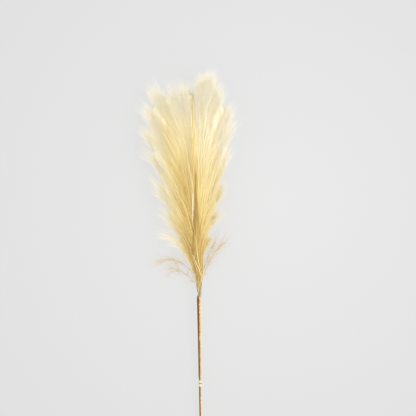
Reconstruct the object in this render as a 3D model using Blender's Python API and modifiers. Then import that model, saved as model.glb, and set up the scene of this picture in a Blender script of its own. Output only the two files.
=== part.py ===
"""A cut stem of pampas grass, lying on a level surface.

Metres, +Z up. +Y runs along the stem to the tip of the plume, and the origin is on the surface, under
the middle of the whole stem. The stem is laid out by three measures: `along`, from the plume's lowest
branch (negative down the culm), `side`, to the right of the lowest branch, and `up`, off the surface.
The plume's branches lie in tiers. Each tier is a shell round the rachis that starts further along than
the one outside it, so branches of one tier pass inside those of the tier before and never cross them.
"""

import math
import random

import bmesh
import bpy
from mathutils import Vector

# Driving dimensions.
CULM_LENGTH = 0.545  # cut end to the lowest branch
PLUME_LENGTH = 0.455  # lowest branch to the highest tip
MIDDLE_ALONG = (PLUME_LENGTH - CULM_LENGTH) / 2
MIDDLE_SIDE = -0.0220  # the plume bulges to the left, which puts the middle of the width there
GAP = 0.0003  # clearance between pieces that touch

# The culm's line, as (along, side) and (along, up), and its radius, as (along, radius).
CULM_SIDE = (
    (-CULM_LENGTH, 0.0080),
    (-0.260, 0.0024),
    (-0.100, 0.0),
    (0.0, -0.0010),
    (0.120, -0.0050),
    (0.250, -0.0090),
    (0.360, -0.0120),
    (PLUME_LENGTH, -0.0140),
)
CULM_UP = (
    (-CULM_LENGTH, 0.0031),
    (0.0, 0.0300),
    (0.200, 0.0400),
    (0.360, 0.0440),
    (PLUME_LENGTH, 0.0400),
)
CULM_RADIUS = (
    (-CULM_LENGTH, 0.0031),
    (-0.206, 0.0028),
    (-0.180, 0.0023),
    (0.0, 0.0021),
    (0.150, 0.0016),
    (0.330, 0.0010),
)
RACHIS_END = 0.330
JOINTS = (-0.460, -0.200)  # where the culm swells at a joint, along it
JOINT_SWELL = 0.0008
JOINT_HALF_LENGTH = 0.006
CULM_STEP = 0.045  # length of the culm between two cross-sections

# The leaf sheath that wraps the culm from its upper joint to just under the plume.
SHEATH_FOOT = -0.188
SHEATH_MOUTH = -0.020
SHEATH_WALL = 0.0004
SHEATH_LOOSE = 0.0019  # how far it stands off the culm at its mouth
SHEATH_TURN = math.radians(415)  # it wraps past itself, in a seam
SHEATH_SEAM_RISE = 0.0009  # the outer edge stands this far outside the inner one
SHEATH_TEETH = 0.0045  # depth of the torn edge at the mouth
SHEATH_AROUND = 18
SHEATH_ROWS = 7

# The plume's tiers, outermost first: name, number of branches, and where they start and end along the
# rachis, with how far their tips stand out to the left and to the right of it.
TIERS = (
    ("base", 6, 0.005, 0.140, 0.080, 0.048),
    ("low", 6, 0.026, 0.195, 0.096, 0.065),
    ("lower", 8, 0.052, 0.252, 0.110, 0.078),
    ("middle", 8, 0.084, 0.310, 0.130, 0.098),
    ("upper", 8, 0.118, 0.362, 0.142, 0.105),
    ("high", 6, 0.154, 0.402, 0.125, 0.093),
    ("top", 6, 0.190, 0.438, 0.104, 0.066),
    ("crown", 3, 0.226, 0.467, 0.052, 0.046),
)
UP_SHARE = 0.68  # the tips' reach upwards, as a share of that sideways
DOWN_SHARE = 0.60  # and downwards, where the surface lets them
PRESSED = 0.012  # how much further down the lowest tips would reach if they lay on nothing
SOFTNESS = 5.0  # how sharply the plume's round underside turns flat on the surface
SAG = 0.034  # how much further down a branch sags under its tip
THINNEST = 0.0015  # thickness of a tip that is pressed on the surface
LOWEST_BOW = 1.6  # 1 is a straight branch, and more turns its tip outwards
HIGHEST_BOW = 1.15
SLANT = 0.30  # the crown's left-hand branches stop this share short of the right-hand ones
FILL_AROUND = 0.90  # share of its place in the tier that a branch fills, round the rachis
FILL_THROUGH = 0.80  # and through the tier's thickness
FULLEST = 0.62  # where a branch is widest, as a share of its length
STALK = 0.3  # its width at the root, as a share of that
RIDGE_DEPTH = 0.16  # depth of the grooves between a branch's locks of hair
AROUND = 10  # corners of a branch's cross-section, every second one on a ridge
RINGS = 8

# Thin branches that stand out by themselves under the plume, to the left and the right of it. Each one
# is an arch: name, start and rise along the stem, reach to the side (negative is to the left), lift, and
# how much of a half-turn it goes through, where 0.5 ends level and more droops.
STRAYS = (
    ("stray_branch_left_1", -0.009, 0.051, -0.078, -0.010, 0.52),
    ("stray_branch_left_2", -0.006, 0.066, -0.094, 0.008, 0.66),
    ("stray_branch_right_1", -0.009, 0.129, 0.064, 0.006, 0.32),
    ("stray_branch_right_2", -0.006, 0.136, 0.044, -0.014, 0.30),
)
STRAY_RADIUS = 0.0009
STRAY_TIP = 0.3  # radius at the tip, as a share of that
STRAY_BOW = 1.7  # how it turns outwards, as for the plume's branches
STRAY_STEPS = 14  # lengths that each one is made of

# Colours, as red, green and blue, and the roughness of each surface.
CULM_COLOUR = (0.50, 0.32, 0.15)
SHEATH_COLOUR = (0.42, 0.24, 0.10)
PLUME_COLOUR = (0.86, 0.74, 0.46)
STEM_ROUGHNESS = 0.5
PLUME_ROUGHNESS = 0.85


def smooth(table, place):
    """The value at `place` on the smooth line through the table's (place, value) points."""
    places = [row[0] for row in table]
    last = len(table) - 1
    slopes = []
    for i in range(last + 1):
        before, after = max(i - 1, 0), min(i + 1, last)
        slopes.append((table[after][1] - table[before][1]) / (places[after] - places[before]))
    i = 0
    while i < last - 1 and place > places[i + 1]:
        i += 1
    span = places[i + 1] - places[i]
    x = min(max((place - places[i]) / span, 0.0), 1.0)
    start, end = table[i][1], table[i + 1][1]
    rise = end - start
    return (
        start
        + slopes[i] * span * x
        + (3 * rise - (2 * slopes[i] + slopes[i + 1]) * span) * x**2
        + ((slopes[i] + slopes[i + 1]) * span - 2 * rise) * x**3
    )


def centre(along):
    """The culm's centre line, in the object's own frame."""
    side = smooth(CULM_SIDE, along) - MIDDLE_SIDE
    return Vector((side, along - MIDDLE_ALONG, smooth(CULM_UP, along)))


def material(name, colour, roughness):
    """A plain material of one colour."""
    made = bpy.data.materials.new(name)
    made.use_nodes = True
    shader = made.node_tree.nodes["Principled BSDF"]
    shader.inputs["Base Color"].default_value = (*colour, 1.0)
    shader.inputs["Roughness"].default_value = roughness
    made.diffuse_color = (*colour, 1.0)
    return made


def add_object(name, data, finish):
    """Puts a mesh or curve into the stem's collection, with its material."""
    data.materials.append(finish)
    made = bpy.data.objects.new(name, data)
    bpy.data.collections["pampas_stem"].objects.link(made)
    return made


def mesh_from(name, shape):
    """Turns a finished bmesh into a mesh, shaded smooth."""
    mesh = bpy.data.meshes.new(name)
    shape.to_mesh(mesh)
    shape.free()
    mesh.shade_smooth()
    return mesh


def add_tube(name, points, radii, sides, finish):
    """A round tube along the points, with its own radius at each and closed ends.

    `sides` is the curve's bevel resolution: 0 gives 4 sides, and each step adds 2.
    """
    curve = bpy.data.curves.new(name, "CURVE")
    curve.dimensions = "3D"
    curve.bevel_depth = 1.0  # so that each point's radius is the tube's
    curve.bevel_resolution = sides
    curve.use_fill_caps = True
    line = curve.splines.new("POLY")
    line.points.add(len(points) - 1)
    for spot, place, radius in zip(line.points, points, radii):
        spot.co = (*place, 1.0)
        spot.radius = radius
    line.use_smooth = True
    return add_object(name, curve, finish)


def culm_radius(along):
    """Radius of the culm, with the swelling at each joint."""
    swell = 0.0
    for joint in JOINTS:
        swell += JOINT_SWELL * math.exp(-(((along - joint) / JOINT_HALF_LENGTH) ** 2))
    return smooth(CULM_RADIUS, along) + swell


def add_culm(finish):
    """The culm and the rachis that it runs on into: one tapered cane with a swollen joint or two."""
    steps = round((RACHIS_END + CULM_LENGTH) / CULM_STEP)
    places = [-CULM_LENGTH + (RACHIS_END + CULM_LENGTH) * i / steps for i in range(steps + 1)]
    for joint in JOINTS:
        places += [joint + JOINT_HALF_LENGTH * share for share in (-1.6, -0.5, 0.5, 1.6)]
    places.sort()
    points = [centre(place) for place in places]
    radii = [culm_radius(place) for place in places]
    return add_tube("culm", points, radii, 4, finish)


def add_sheath(finish):
    """The leaf sheath: a thin sheet wrapped once and a bit round the culm, torn off at its mouth."""
    shape = bmesh.new()
    bmesh.ops.create_grid(shape, x_segments=SHEATH_AROUND, y_segments=SHEATH_ROWS, size=0.5)
    for corner in shape.verts:
        around, height = corner.co.x + 0.5, corner.co.y + 0.5
        turn = SHEATH_TURN * around
        torn = SHEATH_TEETH * height**6 * (math.sin(5.3 * turn) + 0.6 * math.sin(2.2 * turn))
        along = SHEATH_FOOT + (SHEATH_MOUTH - SHEATH_FOOT) * height + torn
        radius = culm_radius(along) + GAP + SHEATH_LOOSE * height**2 + SHEATH_SEAM_RISE * around
        corner.co = centre(along) + radius * Vector((math.cos(turn), 0.0, math.sin(turn)))
    mesh = mesh_from("leaf_sheath", shape)
    made = add_object("leaf_sheath", mesh, finish)
    wall = made.modifiers.new("wall", "SOLIDIFY")
    wall.thickness = SHEATH_WALL
    wall.offset = -1.0
    return made


def tier_value(tier, column):
    """A column of the tiers' table at a place between tiers, where 0 is the first and 1 the second."""
    low = min(max(int(math.floor(tier)), 0), len(TIERS) - 2)
    before, after = TIERS[low][column], TIERS[low + 1][column]
    return before + (after - before) * (tier - low)


def plume_point(tier, angle, share):
    """A place in the plume.

    `tier` is the shell that it lies on, `angle` is round the rachis from the right-hand side, through
    the top, and `share` is how far it is from the shell's start to its tips.
    """
    start, tip = tier_value(tier, 2), tier_value(tier, 3)
    along = start + (tip - start) * share
    left, right = tier_value(tier, 4), tier_value(tier, 5)
    across, over = math.cos(angle), math.sin(angle)
    sideways = (left + right) / 2 + (right - left) / 2 * across
    flat = UP_SHARE if over > 0 else DOWN_SHARE
    reach = sideways / math.hypot(across, over / flat)
    if over < 0:
        limit = (centre(tip).z + PRESSED) / -over
        reach = (reach**-SOFTNESS + limit**-SOFTNESS) ** (-1 / SOFTNESS)
    root = culm_radius(min(along, RACHIS_END)) + GAP
    bow = LOWEST_BOW + (HIGHEST_BOW - LOWEST_BOW) * tier / (len(TIERS) - 1)
    radius = root + (reach - root) * share**bow
    return centre(along) + radius * Vector((across, 0.0, over))


def fullness(share):
    """Half-width of a branch along its length: a thin stalk, then full, then drawn in to the tip."""
    if share < FULLEST:
        return STALK + (1.0 - STALK) * math.sin(math.pi / 2 * share / FULLEST) ** 1.3
    return max(1.0 - ((share - FULLEST) / (1.0 - FULLEST)) ** 2, 0.0) ** 0.8


def add_branch(name, tier, angle, half_angle, length_share, curl, finish):
    """One branch: a ball drawn out along its place in the tier and grooved between its locks."""
    shape = bmesh.new()
    bmesh.ops.create_uvsphere(shape, u_segments=AROUND, v_segments=RINGS, radius=1.0)
    for corner in shape.verts:
        share = math.acos(max(-1.0, min(1.0, -corner.co.z))) / math.pi
        round_it = math.atan2(corner.co.y, corner.co.x)
        ridge = 1.0 - RIDGE_DEPTH * (round(round_it / (2 * math.pi) * AROUND) % 2)
        wide = fullness(share) * ridge if 0.0 < share < 1.0 else 0.0
        around = math.cos(round_it) * wide * FILL_AROUND
        through = math.sin(round_it) * wide * FILL_THROUGH
        turned = angle + half_angle * around + curl * share**2
        place = plume_point(tier - 0.5 * through, turned, share * length_share)
        sag = SAG * share**8 * max(through, 0.0) * max(-math.sin(turned), 0.0)
        lowest = THINNEST if through < -0.001 else 0.0
        corner.co = (place.x, place.y, max(place.z - sag, lowest))
    return add_object(name, mesh_from(name, shape), finish)


def add_plume(finish):
    """All the tiers' branches, each with its own width, length and curl."""
    chance = random.Random(11)
    for tier, (name, count, *_) in enumerate(TIERS):
        weights = [chance.uniform(0.82, 1.18) for _ in range(count)]
        angle = math.pi / 2 + chance.uniform(-0.12, 0.12)
        curl = chance.uniform(-0.12, 0.12)
        slant = SLANT if tier == len(TIERS) - 1 else 0.0
        for number, weight in enumerate(weights, 1):
            width = 2 * math.pi * weight / sum(weights)
            middle = angle + width / 2
            length_share = chance.uniform(0.94, 1.0) - slant * (1 - math.cos(middle)) / 2
            add_branch(f"branch_{name}_{number}", tier, middle, width / 2, length_share, curl, finish)
            angle += width


def add_stray(name, start, rise, reach, lift, bend, finish):
    """One thin branch by itself: a round arch drawn out to a point."""
    root = culm_radius(start) + 2 * GAP + STRAY_RADIUS
    high = math.copysign(0.45 * root, lift)
    side = math.copysign(0.9 * root, reach)
    points, radii = [], []
    for i in range(STRAY_STEPS + 1):
        share = i / STRAY_STEPS
        along = start + rise * math.sin(math.pi * bend * share)
        over = side + (reach - side) * share**STRAY_BOW
        points.append(centre(along) + Vector((over, 0.0, high + (lift - high) * share)))
        radii.append(STRAY_RADIUS * (1.0 + (STRAY_TIP - 1.0) * share))
    return add_tube(name, points, radii, 1, finish)


def main():
    """Builds the stem."""
    for old in list(bpy.data.objects):
        bpy.data.objects.remove(old)
    stem = bpy.data.collections.new("pampas_stem")
    bpy.context.scene.collection.children.link(stem)
    culm_finish = material("culm", CULM_COLOUR, STEM_ROUGHNESS)
    sheath_finish = material("leaf_sheath", SHEATH_COLOUR, STEM_ROUGHNESS)
    plume_finish = material("plume", PLUME_COLOUR, PLUME_ROUGHNESS)
    add_culm(culm_finish)
    add_sheath(sheath_finish)
    add_plume(plume_finish)
    for stray in STRAYS:
        add_stray(*stray, plume_finish)


main()
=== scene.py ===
"""A cut stem of pampas grass, dressed in its hair, lying on a pale floor.

Everything is in metres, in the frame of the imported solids: +Y runs along the stem to the tip of the
plume, +Z is up, and the floor is at height 0. `along` is measured from the plume's lowest branch and
`side` to the right of the rachis. Inside the plume, places are given by tier, by angle round the
rachis and by share of the way from the rachis to the tips, so that hair follows the same flow as the
branches that it grows on.
"""

import logging
import math
import random
from dataclasses import asdict, dataclass, fields
from enum import Enum
from functools import cached_property

import bpy
import numpy as np
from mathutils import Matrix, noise

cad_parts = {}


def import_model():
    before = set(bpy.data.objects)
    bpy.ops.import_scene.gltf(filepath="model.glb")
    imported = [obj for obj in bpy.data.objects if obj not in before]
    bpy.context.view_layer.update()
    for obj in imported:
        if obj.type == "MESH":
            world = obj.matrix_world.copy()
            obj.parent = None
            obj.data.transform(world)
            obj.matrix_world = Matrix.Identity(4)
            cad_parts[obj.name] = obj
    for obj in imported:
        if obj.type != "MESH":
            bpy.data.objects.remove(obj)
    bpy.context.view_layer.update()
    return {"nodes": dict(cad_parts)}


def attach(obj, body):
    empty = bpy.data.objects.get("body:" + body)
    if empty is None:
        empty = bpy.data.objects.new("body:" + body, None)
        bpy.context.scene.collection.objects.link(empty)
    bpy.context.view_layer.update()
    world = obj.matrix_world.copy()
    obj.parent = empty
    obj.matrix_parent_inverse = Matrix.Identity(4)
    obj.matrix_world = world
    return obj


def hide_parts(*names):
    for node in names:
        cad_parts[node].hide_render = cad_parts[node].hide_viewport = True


LOG = logging.getLogger("pampas_stem")
HAIR_MAP = "OFBake"  # the UV map of the hair: U is a strand's tone and V its paleness
SHADE_RANGE = (0.02, 0.98)  # the least and the most that a tone or a paleness may be
Colour = tuple[float, float, float]
Pair = tuple[float, float]
Range = tuple[float, float]  # where it starts and where it ends
Shade = tuple[float, float]  # a tone and a paleness
Socket = bpy.types.NodeSocket
Given = Socket | float | str | tuple[float, ...]  # what a node's socket can be fed


class Side(Enum):
    """The side of the rachis that a branch stands out to."""

    LEFT = -1
    RIGHT = 1


class Sum(Enum):
    """The sums that a node does on numbers."""

    ADD = "ADD"
    SUBTRACT = "SUBTRACT"
    MULTIPLY = "MULTIPLY"
    DIVIDE = "DIVIDE"
    POWER = "POWER"
    ROUND = "ROUND"
    ABSOLUTE = "ABSOLUTE"
    MINIMUM = "MINIMUM"
    MAXIMUM = "MAXIMUM"


class Draw(Enum):
    """The random draws of the hair tree, each with a number that keeps it apart from the others."""

    HAIR_LEAN = 1
    HAIR_THICKNESS = 2
    HAIR_START = 3
    HAIR_LENGTH = 4
    TUFT_THICKNESS = 5


class Blend(Enum):
    """The ways to lay one colour on another."""

    MIX = "MIX"
    MULTIPLY = "MULTIPLY"


# Form -----------------------------------------------------------------------------------------------


def between(value: np.ndarray, start: float, end: float) -> np.ndarray:
    """Tells how far values have come from a start, 0, to an end, 1, and holds them there."""
    return np.clip((value - start) / (end - start), 0.0, 1.0)


def window(value: np.ndarray, edges: tuple[float, float, float, float]) -> np.ndarray:
    """Rises from 0 to 1 between the first two edges and falls back to 0 between the last two."""
    rise_start, rise_end, fall_start, fall_end = edges
    return np.minimum(between(value, rise_start, rise_end), between(value, fall_end, fall_start))


def blended(ends: Range, share: np.ndarray) -> np.ndarray:
    """Goes from the first of two values to the second as a share goes from 0 to 1."""
    return ends[0] + (ends[1] - ends[0]) * share


def bell(value: np.ndarray, width: float) -> np.ndarray:
    """Gives 1 at a value of 0 and falls away on both sides over a width."""
    return np.exp(-((value / width) ** 2))


@dataclass(frozen=True)
class SmoothLine:
    """A smooth line through a few (place, value) points."""

    points: tuple[Pair, ...]

    def at(self, place: np.ndarray) -> np.ndarray:
        """Reads the line.

        Args:
            place: Places along the line.

        Returns:
            The line's value at each place.
        """
        table = np.array(self.points)
        x, y = table[:, 0], table[:, 1]
        slope = np.empty_like(y)
        slope[1:-1] = (y[2:] - y[:-2]) / (x[2:] - x[:-2])
        slope[0] = (y[1] - y[0]) / (x[1] - x[0])
        slope[-1] = (y[-1] - y[-2]) / (x[-1] - x[-2])
        place = np.clip(np.asarray(place, dtype=float), x[0], x[-1])
        low = np.clip(np.searchsorted(x, place, side="right") - 1, 0, len(x) - 2)
        span = x[low + 1] - x[low]
        part = (place - x[low]) / span
        rise = y[low + 1] - y[low]
        return (
            y[low]
            + slope[low] * span * part
            + (3 * rise - (2 * slope[low] + slope[low + 1]) * span) * part**2
            + ((slope[low] + slope[low + 1]) * span - 2 * rise) * part**3
        )


@dataclass(frozen=True)
class Tier:
    """One shell of branches round the rachis, with its start, its tips and their reach."""

    name: str
    count: int
    start: float
    tip: float
    left: float
    right: float


@dataclass(frozen=True)
class Lock:
    """One branch's place in its tier."""

    node: str
    tier: int
    angle: float
    half_angle: float
    length_share: float
    curl: float


@dataclass(frozen=True)
class StemForm:
    """The lie of the whole stem: the culm's line and the tiers of the plume."""

    culm_length: float = 0.545
    plume_length: float = 0.455
    middle_side: float = -0.0220
    gap: float = 0.0003
    rachis_end: float = 0.330
    joints: tuple[float, ...] = (-0.460, -0.200)
    joint_swell: float = 0.0008
    joint_half_length: float = 0.006
    up_share: float = 0.68
    down_share: float = 0.60
    pressed: float = 0.012
    softness: float = 5.0
    lowest_bow: float = 1.6
    highest_bow: float = 1.15
    slant: float = 0.30
    lock_widths: Range = (0.82, 1.18)
    lock_lengths: Range = (0.94, 1.0)
    lock_turns: Range = (-0.12, 0.12)
    lock_seed: int = 11
    side_line: SmoothLine = SmoothLine(
        (
            (-0.545, 0.0080), (-0.260, 0.0024), (-0.100, 0.0), (0.0, -0.0010), (0.120, -0.0050),
            (0.250, -0.0090), (0.360, -0.0120), (0.455, -0.0140),
        )
    )
    up_line: SmoothLine = SmoothLine(
        ((-0.545, 0.0031), (0.0, 0.0300), (0.200, 0.0400), (0.360, 0.0440), (0.455, 0.0400))
    )
    radius_line: SmoothLine = SmoothLine(
        (
            (-0.545, 0.0031), (-0.206, 0.0028), (-0.180, 0.0023), (0.0, 0.0021), (0.150, 0.0016),
            (0.330, 0.0010),
        )
    )
    tiers: tuple[Tier, ...] = (
        Tier("base", 6, 0.005, 0.140, 0.080, 0.048),
        Tier("low", 6, 0.026, 0.195, 0.096, 0.065),
        Tier("lower", 8, 0.052, 0.252, 0.110, 0.078),
        Tier("middle", 8, 0.084, 0.310, 0.130, 0.098),
        Tier("upper", 8, 0.118, 0.362, 0.142, 0.105),
        Tier("high", 6, 0.154, 0.402, 0.125, 0.093),
        Tier("top", 6, 0.190, 0.438, 0.104, 0.066),
        Tier("crown", 3, 0.226, 0.467, 0.052, 0.046),
    )

    @property
    def middle_along(self) -> float:
        """The middle of the whole length, along the stem from the lowest branch."""
        return (self.plume_length - self.culm_length) / 2

    @property
    def last_tier(self) -> int:
        """The number of the highest tier, counted from 0."""
        return len(self.tiers) - 1

    def along(self, place: np.ndarray) -> np.ndarray:
        """Measures how far along the stem places are, from the lowest branch."""
        return place[..., 1] + self.middle_along

    def centre(self, along: np.ndarray) -> np.ndarray:
        """Finds the culm's centre line.

        Args:
            along: Places along the stem.

        Returns:
            A point for each place.
        """
        along = np.asarray(along, dtype=float)
        side = self.side_line.at(along) - self.middle_side
        return np.stack((side, along - self.middle_along, self.up_line.at(along)), axis=-1)

    def middle(self, along: np.ndarray) -> np.ndarray:
        """Finds the middle of the plume, which stays at the rachis's end for places past it."""
        return self.centre(np.minimum(along, self.plume_length))

    def culm_radius(self, along: np.ndarray) -> np.ndarray:
        """Finds the culm's radius, with its swollen joints.

        Args:
            along: Places along the stem.

        Returns:
            The radius at each place.
        """
        along = np.asarray(along, dtype=float)
        swell = sum(bell(along - joint, self.joint_half_length) for joint in self.joints)
        return self.radius_line.at(along) + self.joint_swell * swell

    def tier_value(self, tier: np.ndarray, field: str) -> np.ndarray:
        """Reads a field of the tiers at places between them.

        Args:
            tier: Places among the tiers, 0 on the first one.
            field: The field's name.

        Returns:
            The field's value at each place.
        """
        values = np.array([getattr(one, field) for one in self.tiers])
        low = np.clip(np.floor(tier).astype(int), 0, len(values) - 2)
        return values[low] + (values[low + 1] - values[low]) * (tier - low)

    def plume_point(self, tier: np.ndarray, angle: np.ndarray, share: np.ndarray) -> np.ndarray:
        """Finds places in the plume.

        Args:
            tier: The shell that each place is on.
            angle: Its angle round the rachis, from the right-hand side through the top.
            share: Its share of the way from the shell's start to its tips.

        Returns:
            A point for each place.
        """
        tier, angle, share = np.broadcast_arrays(tier, angle, share)
        start, tip = self.tier_value(tier, "start"), self.tier_value(tier, "tip")
        along = start + (tip - start) * share
        left, right = self.tier_value(tier, "left"), self.tier_value(tier, "right")
        across, over = np.cos(angle), np.sin(angle)
        sideways = (left + right) / 2 + (right - left) / 2 * across
        flat = np.where(over > 0, self.up_share, self.down_share)
        reach = sideways / np.hypot(across, over / flat)
        limit = (self.up_line.at(tip) + self.pressed) / np.maximum(-over, 1e-6)
        pressed = (reach**-self.softness + limit**-self.softness) ** (-1 / self.softness)
        reach = np.where(over < 0, pressed, reach)
        bow = self.lowest_bow + (self.highest_bow - self.lowest_bow) * tier / self.last_tier
        root = self.culm_radius(np.minimum(along, self.rachis_end)) + self.gap
        radius = root + (reach - root) * np.maximum(share, 0.0) ** bow
        place = self.middle(along)
        place[..., 1] = along - self.middle_along
        place[..., 0] += radius * across
        place[..., 2] += radius * over
        return place

    def locks(self) -> list[Lock]:
        """Lists the plume's branches, in their places.

        Returns:
            One lock for each branch node.
        """
        chance = random.Random(self.lock_seed)
        found = []
        for index, tier in enumerate(self.tiers):
            weights = [chance.uniform(*self.lock_widths) for _ in range(tier.count)]
            angle = math.pi / 2 + chance.uniform(*self.lock_turns)
            curl = chance.uniform(*self.lock_turns)
            slant = self.slant if index == self.last_tier else 0.0
            for number, weight in enumerate(weights, 1):
                width = 2 * math.pi * weight / sum(weights)
                middle = angle + width / 2
                length_share = chance.uniform(*self.lock_lengths) - slant * (1 - math.cos(middle)) / 2
                node = f"branch_{tier.name}_{number}"
                found.append(Lock(node, index, middle, width / 2, length_share, curl))
                angle += width
        return found


# Finishes -------------------------------------------------------------------------------------------


@dataclass(frozen=True)
class Wiring:
    """Adds nodes to one tree, sets them and links them up."""

    tree: bpy.types.NodeTree

    def feed(self, socket: Socket, value: Given) -> None:
        """Links another node's socket to a socket, or sets it to a plain value.

        Args:
            socket: The socket to feed.
            value: The other node's socket, or the value.
        """
        if isinstance(value, bpy.types.NodeSocket):
            self.tree.links.new(value, socket)
        else:
            socket.default_value = value

    def fill(self, node: bpy.types.Node, given: dict[str | int, Given]) -> None:
        """Feeds several of a node's sockets.

        Args:
            node: The node.
            given: What goes into each socket, by the socket's name or number.
        """
        for name, value in given.items():
            if isinstance(name, int):
                self.feed(node.inputs[name], value)
            else:
                self.feed(next(one for one in node.inputs if one.enabled and one.name == name), value)

    def add(self, kind: str, given: dict[str | int, Given] | None = None, **settings: str) -> bpy.types.Node:
        """Adds a node.

        Args:
            kind: The node's type.
            given: What goes into its sockets, by their names or numbers.
            settings: The node's own settings.

        Returns:
            The node.
        """
        node = self.tree.nodes.new(kind)
        for name, setting in settings.items():
            setattr(node, name, setting)
        self.fill(node, given or {})
        return node

    def result(self, kind: str, given: dict[str | int, Given] | None = None, **settings: str) -> Socket:
        """Adds a node, just as add() does, and gives the first of its results that is in use."""
        return next(one for one in self.add(kind, given, **settings).outputs if one.enabled)

    def sum(self, kind: Sum, *values: Given) -> Socket:
        """Adds a sum on numbers and gives its result."""
        return self.result("ShaderNodeMath", dict(enumerate(values)), operation=kind.value)

    def product(self, *values: Given) -> Socket:
        """Multiplies numbers with each other.

        Args:
            values: The numbers.

        Returns:
            Their product.
        """
        result = values[0]
        for value in values[1:]:
            result = self.sum(Sum.MULTIPLY, result, value)
        return result

    def held(self, value: Given, most: float = 1.0) -> Socket:
        """Holds a number between 0 and the most that it may be."""
        return self.sum(Sum.MINIMUM, self.sum(Sum.MAXIMUM, value, 0.0), most)

    def ramp(self, value: Socket, stops: tuple[tuple[float, Colour], ...]) -> Socket:
        """Turns a number into a colour.

        Args:
            value: The number.
            stops: Each stop's place and colour.

        Returns:
            The colour.
        """
        node = self.add("ShaderNodeValToRGB", {"Fac": value})
        elements = node.color_ramp.elements
        while len(elements) < len(stops):
            elements.new(0.5)
        for element, (place, colour) in zip(elements, stops):
            element.position = place
            element.color = (*colour, 1.0)
        return node.outputs["Color"]

    def mixed(self, share: Given, first: Socket, second: Socket | Colour, blend: Blend = Blend.MIX) -> Socket:
        """Lays a second colour on a first one.

        Args:
            share: How much of the second colour shows.
            first: The first colour.
            second: The second colour.
            blend: How it is laid on.

        Returns:
            The colour.
        """
        if isinstance(second, tuple):
            second = (*second, 1.0)
        given = {"Factor": share, "A": first, "B": second}
        return self.result("ShaderNodeMix", given, data_type="RGBA", blend_type=blend.value)


def blank_material(name: str) -> tuple[bpy.types.Material, Wiring, bpy.types.Node]:
    """Makes a material that has only its shader.

    Args:
        name: The material's name.

    Returns:
        The material, its wiring and its shader.
    """
    made = bpy.data.materials.new(name)
    made.use_nodes = True
    return made, Wiring(made.node_tree), made.node_tree.nodes["Principled BSDF"]


@dataclass(frozen=True)
class HairFinish:
    """Dry silky hair, from golden to cream by its paleness and from dim to bright by its tone."""

    name: str = "pampas_hair"
    shades: tuple[tuple[float, Colour], ...] = (
        (0.0, (0.56, 0.36, 0.10)),
        (0.25, (0.78, 0.575, 0.20)),
        (0.50, (0.92, 0.73, 0.31)),
        (0.72, (0.97, 0.84, 0.46)),
        (0.88, (1.0, 0.91, 0.63)),
        (1.0, (1.0, 0.96, 0.82)),
    )
    tones: tuple[tuple[float, Colour], ...] = (
        (0.0, (0.62, 0.55, 0.42)),
        (0.5, (0.96, 0.95, 0.93)),
        (1.0, (1.0, 1.0, 1.0)),
    )
    roughness: float = 0.62
    shine: float = 0.25

    def material(self) -> bpy.types.Material:
        """Builds the hair's material, which reads only the hair's own UV map.

        Returns:
            The material.
        """
        made, wiring, shader = blank_material(self.name)
        place = wiring.result("ShaderNodeUVMap", uv_map=HAIR_MAP)
        parts = wiring.add("ShaderNodeSeparateXYZ", {"Vector": place}).outputs
        pale, tone = wiring.ramp(parts["Y"], self.shades), wiring.ramp(parts["X"], self.tones)
        colour = wiring.mixed(1.0, pale, tone, Blend.MULTIPLY)
        given = {"Base Color": colour, "Roughness": self.roughness, "Specular IOR Level": self.shine}
        wiring.fill(shader, given)
        return made


@dataclass(frozen=True)
class Ring:
    """A ring of colour round a joint: its half width, how steeply it fades and how much it covers."""

    half_width: float
    steepness: float
    cover: float


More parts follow.
